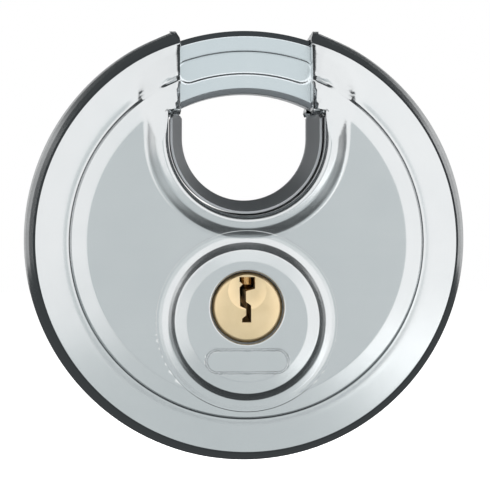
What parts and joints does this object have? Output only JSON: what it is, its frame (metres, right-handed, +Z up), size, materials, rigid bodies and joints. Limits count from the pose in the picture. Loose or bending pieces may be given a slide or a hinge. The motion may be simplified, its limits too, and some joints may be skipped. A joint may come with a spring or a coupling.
{
  "type": "disc padlock",
  "caption": "Round shrouded padlock: stamped steel case around a U-shaped throat, thick shackle that turns into the case, brass key plug below.",
  "frame": {"origin": "middle of the shackle's inner face, where the padlock hangs", "axes": "+Z up through the shackle, -Y out of the front face with the key plug, +X to the right seen from the front"},
  "size_m": [0.07, 0.028, 0.0682],
  "materials": {
    "stainless": "polished",
    "liner_steel": "satin",
    "hardened_steel": "polished",
    "brass": "machined",
    "zinc": "die-cast",
    "spring_steel": "drawn"
  },
  "bodies": {
    "case": {"front_shell": "stainless", "rear_shell": "stainless", "throat_liner": "liner_steel", "core": "zinc", "chamber_cover": "hardened_steel", "drill_pin_left": "hardened_steel", "drill_pin_right": "hardened_steel", "front_guide": "zinc", "rear_guide_left": "zinc", "rear_guide_right": "zinc", "channel_spacer": "zinc", "guide_screw_1": "hardened_steel", "guide_screw_2": "hardened_steel", "guide_screw_3": "hardened_steel", "guide_screw_4": "hardened_steel", "pin_spring_1": "spring_steel", "pin_spring_2": "spring_steel", "pin_spring_3": "spring_steel", "pin_spring_4": "spring_steel", "pin_spring_5": "spring_steel"},
    "shackle": {"shackle": "hardened_steel"},
    "plug": {"plug": "brass", "plug_clip": "spring_steel", "crank_plate": "hardened_steel", "drive_pin": "hardened_steel", "crank_clip": "spring_steel"},
    "key_pin_1": {"key_pin_1": "brass"},
    "key_pin_2": {"key_pin_2": "brass"},
    "key_pin_3": {"key_pin_3": "brass"},
    "key_pin_4": {"key_pin_4": "brass"},
    "key_pin_5": {"key_pin_5": "brass"},
    "driver_pin_1": {"driver_pin_1": "spring_steel"},
    "driver_pin_2": {"driver_pin_2": "spring_steel"},
    "driver_pin_3": {"driver_pin_3": "spring_steel"},
    "driver_pin_4": {"driver_pin_4": "spring_steel"},
    "driver_pin_5": {"driver_pin_5": "spring_steel"}
  },
  "joints": [
    {"name": "shackle_turn", "type": "hinge", "parent": "case", "child": "shackle", "pos_m": [0, 0, -0.0232], "axis": [0, 1, 0], "range_deg": [0, 68]},
    {"name": "plug_turn", "type": "hinge", "parent": "case", "child": "plug", "pos_m": [0, 0, -0.0332], "axis": [0, 1, 0], "range_deg": [0, 136]},
    {"name": "key_pin_1_drop", "type": "slide", "parent": "plug", "child": "key_pin_1", "axis": [0, 0, -1], "range_m": [0, 0.0014]},
    {"name": "key_pin_2_drop", "type": "slide", "parent": "plug", "child": "key_pin_2", "axis": [0, 0, -1], "range_m": [0, 0.0014]},
    {"name": "key_pin_3_drop", "type": "slide", "parent": "plug", "child": "key_pin_3", "axis": [0, 0, -1], "range_m": [0, 0.0014]},
    {"name": "key_pin_4_drop", "type": "slide", "parent": "plug", "child": "key_pin_4", "axis": [0, 0, -1], "range_m": [0, 0.0014]},
    {"name": "key_pin_5_drop", "type": "slide", "parent": "plug", "child": "key_pin_5", "axis": [0, 0, -1], "range_m": [0, 0.0014]},
    {"name": "driver_pin_1_lift", "type": "slide", "parent": "case", "child": "driver_pin_1", "axis": [0, 0, 1], "range_m": [0, 0.001], "stiffness_N_per_m": 20, "springref_m": -0.0005, "deforming": ["pin_spring_1"]},
    {"name": "driver_pin_2_lift", "type": "slide", "parent": "case", "child": "driver_pin_2", "axis": [0, 0, 1], "range_m": [0, 0.001], "stiffness_N_per_m": 20, "springref_m": -0.0005, "deforming": ["pin_spring_2"]},
    {"name": "driver_pin_3_lift", "type": "slide", "parent": "case", "child": "driver_pin_3", "axis": [0, 0, 1], "range_m": [0, 0.001], "stiffness_N_per_m": 20, "springref_m": -0.0005, "deforming": ["pin_spring_3"]},
    {"name": "driver_pin_4_lift", "type": "slide", "parent": "case", "child": "driver_pin_4", "axis": [0, 0, 1], "range_m": [0, 0.001], "stiffness_N_per_m": 20, "springref_m": -0.0005, "deforming": ["pin_spring_4"]},
    {"name": "driver_pin_5_lift", "type": "slide", "parent": "case", "child": "driver_pin_5", "axis": [0, 0, 1], "range_m": [0, 0.001], "stiffness_N_per_m": 20, "springref_m": -0.0005, "deforming": ["pin_spring_5"]}
  ],
  "couplings": [
    {"joint": "plug_turn", "follows": "shackle_turn", "ratio": 2}
  ]
}
